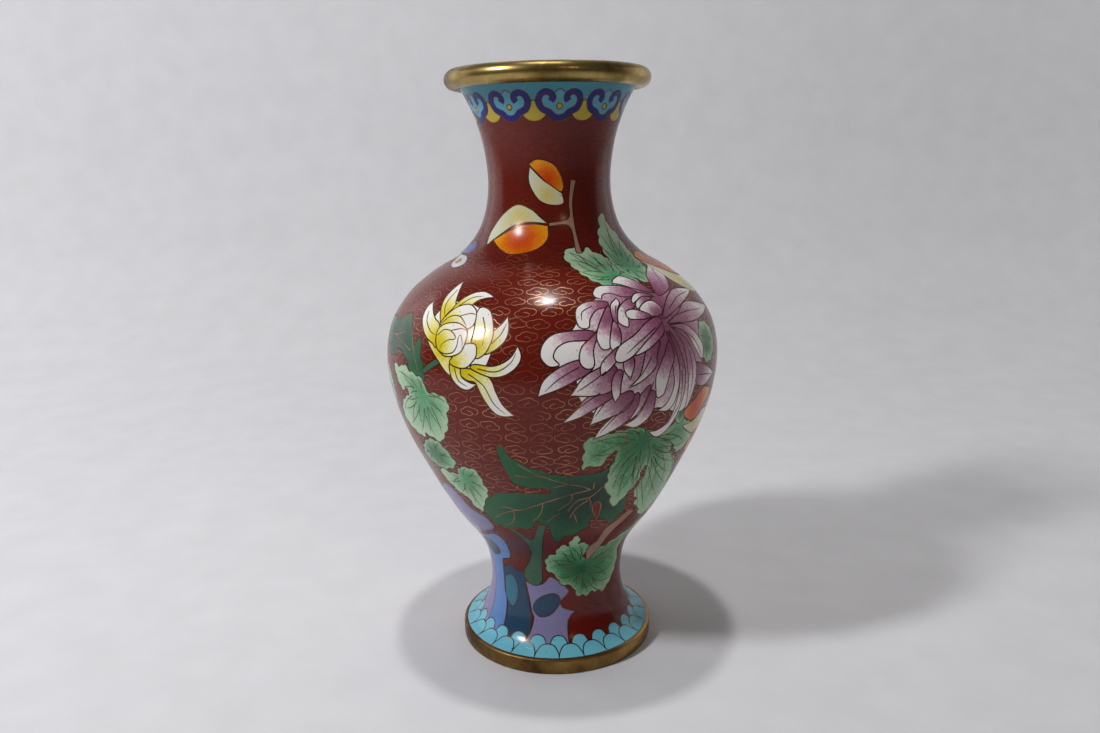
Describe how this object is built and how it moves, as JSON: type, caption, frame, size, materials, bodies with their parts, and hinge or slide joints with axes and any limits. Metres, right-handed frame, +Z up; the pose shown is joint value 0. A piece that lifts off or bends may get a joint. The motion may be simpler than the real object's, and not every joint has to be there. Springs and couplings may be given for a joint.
{
  "type": "cloisonne vase",
  "caption": "Baluster vase of copper with cloisonne enamel: flowers, leaves and a scholar's rock on a cloud-wired brick-red ground, with ring-bound mouth and foot.",
  "frame": {"origin": "centre of the foot ring's underside, on the surface that the vase stands on", "axes": "+Z up along the vase's axis; the front, with the two chrysanthemums, faces -Y and +X is to the viewer's right"},
  "size_m": [0.131, 0.131, 0.23],
  "materials": {
    "gilt_brass": "satin, worn gilding with brown tarnish",
    "gilt_wire": "polished flush with the enamel; the real wire is gilt copper",
    "copper": null,
    "counter_enamel": "glossy",
    "brick_enamel": "polished",
    "turquoise_enamel": "polished",
    "navy_enamel": "polished",
    "slate_enamel": "polished",
    "sky_enamel": "polished",
    "lavender_enamel": "polished",
    "yellow_enamel": "polished",
    "yellow_white_enamel": "polished, shaded from yellow to white in each cell",
    "mauve_enamel": "polished, shaded from mauve to white in each cell",
    "pale_green_enamel": "polished",
    "green_enamel": "polished",
    "dark_green_enamel": "polished",
    "orange_enamel": "polished",
    "cream_enamel": "polished",
    "brown_enamel": "polished"
  },
  "bodies": {
    "root": {"rim_ring": "gilt_brass", "neck_shell": "copper", "shoulder_shell": "copper", "belly_shell": "copper", "foot_shell": "copper", "base_plate": "copper", "foot_ring": "gilt_brass", "lining": "counter_enamel", "base_enamel": "counter_enamel", "ground_enamel": "brick_enamel", "collar_enamel": "turquoise_enamel", "ruyi_heads": "navy_enamel", "ruyi_hearts": "sky_enamel", "ruyi_dots": "yellow_enamel", "ruyi_lobes": "yellow_enamel", "collar_wires": "gilt_wire", "scale_enamel": "turquoise_enamel", "scale_wires": "gilt_wire", "pink_petals": "mauve_enamel", "pink_wires": "gilt_wire", "yellow_petals": "yellow_white_enamel", "yellow_wires": "gilt_wire", "pale_leaf_cells": "pale_green_enamel", "pale_leaf_wires": "gilt_wire", "green_leaf_cells": "green_enamel", "green_leaf_wires": "gilt_wire", "dark_leaf_cells": "dark_green_enamel", "dark_leaf_wires": "gilt_wire", "butterfly_wings": "sky_enamel", "butterfly_wires": "gilt_wire", "orange_leaf_cells": "orange_enamel", "cream_leaf_cells": "cream_enamel", "autumn_wires": "gilt_wire", "twig_cells": "brown_enamel", "twig_wires": "gilt_wire", "rock_lavender": "lavender_enamel", "rock_sky": "sky_enamel", "rock_navy": "slate_enamel", "rock_wires": "gilt_wire"}
  },
  "joints": []
}
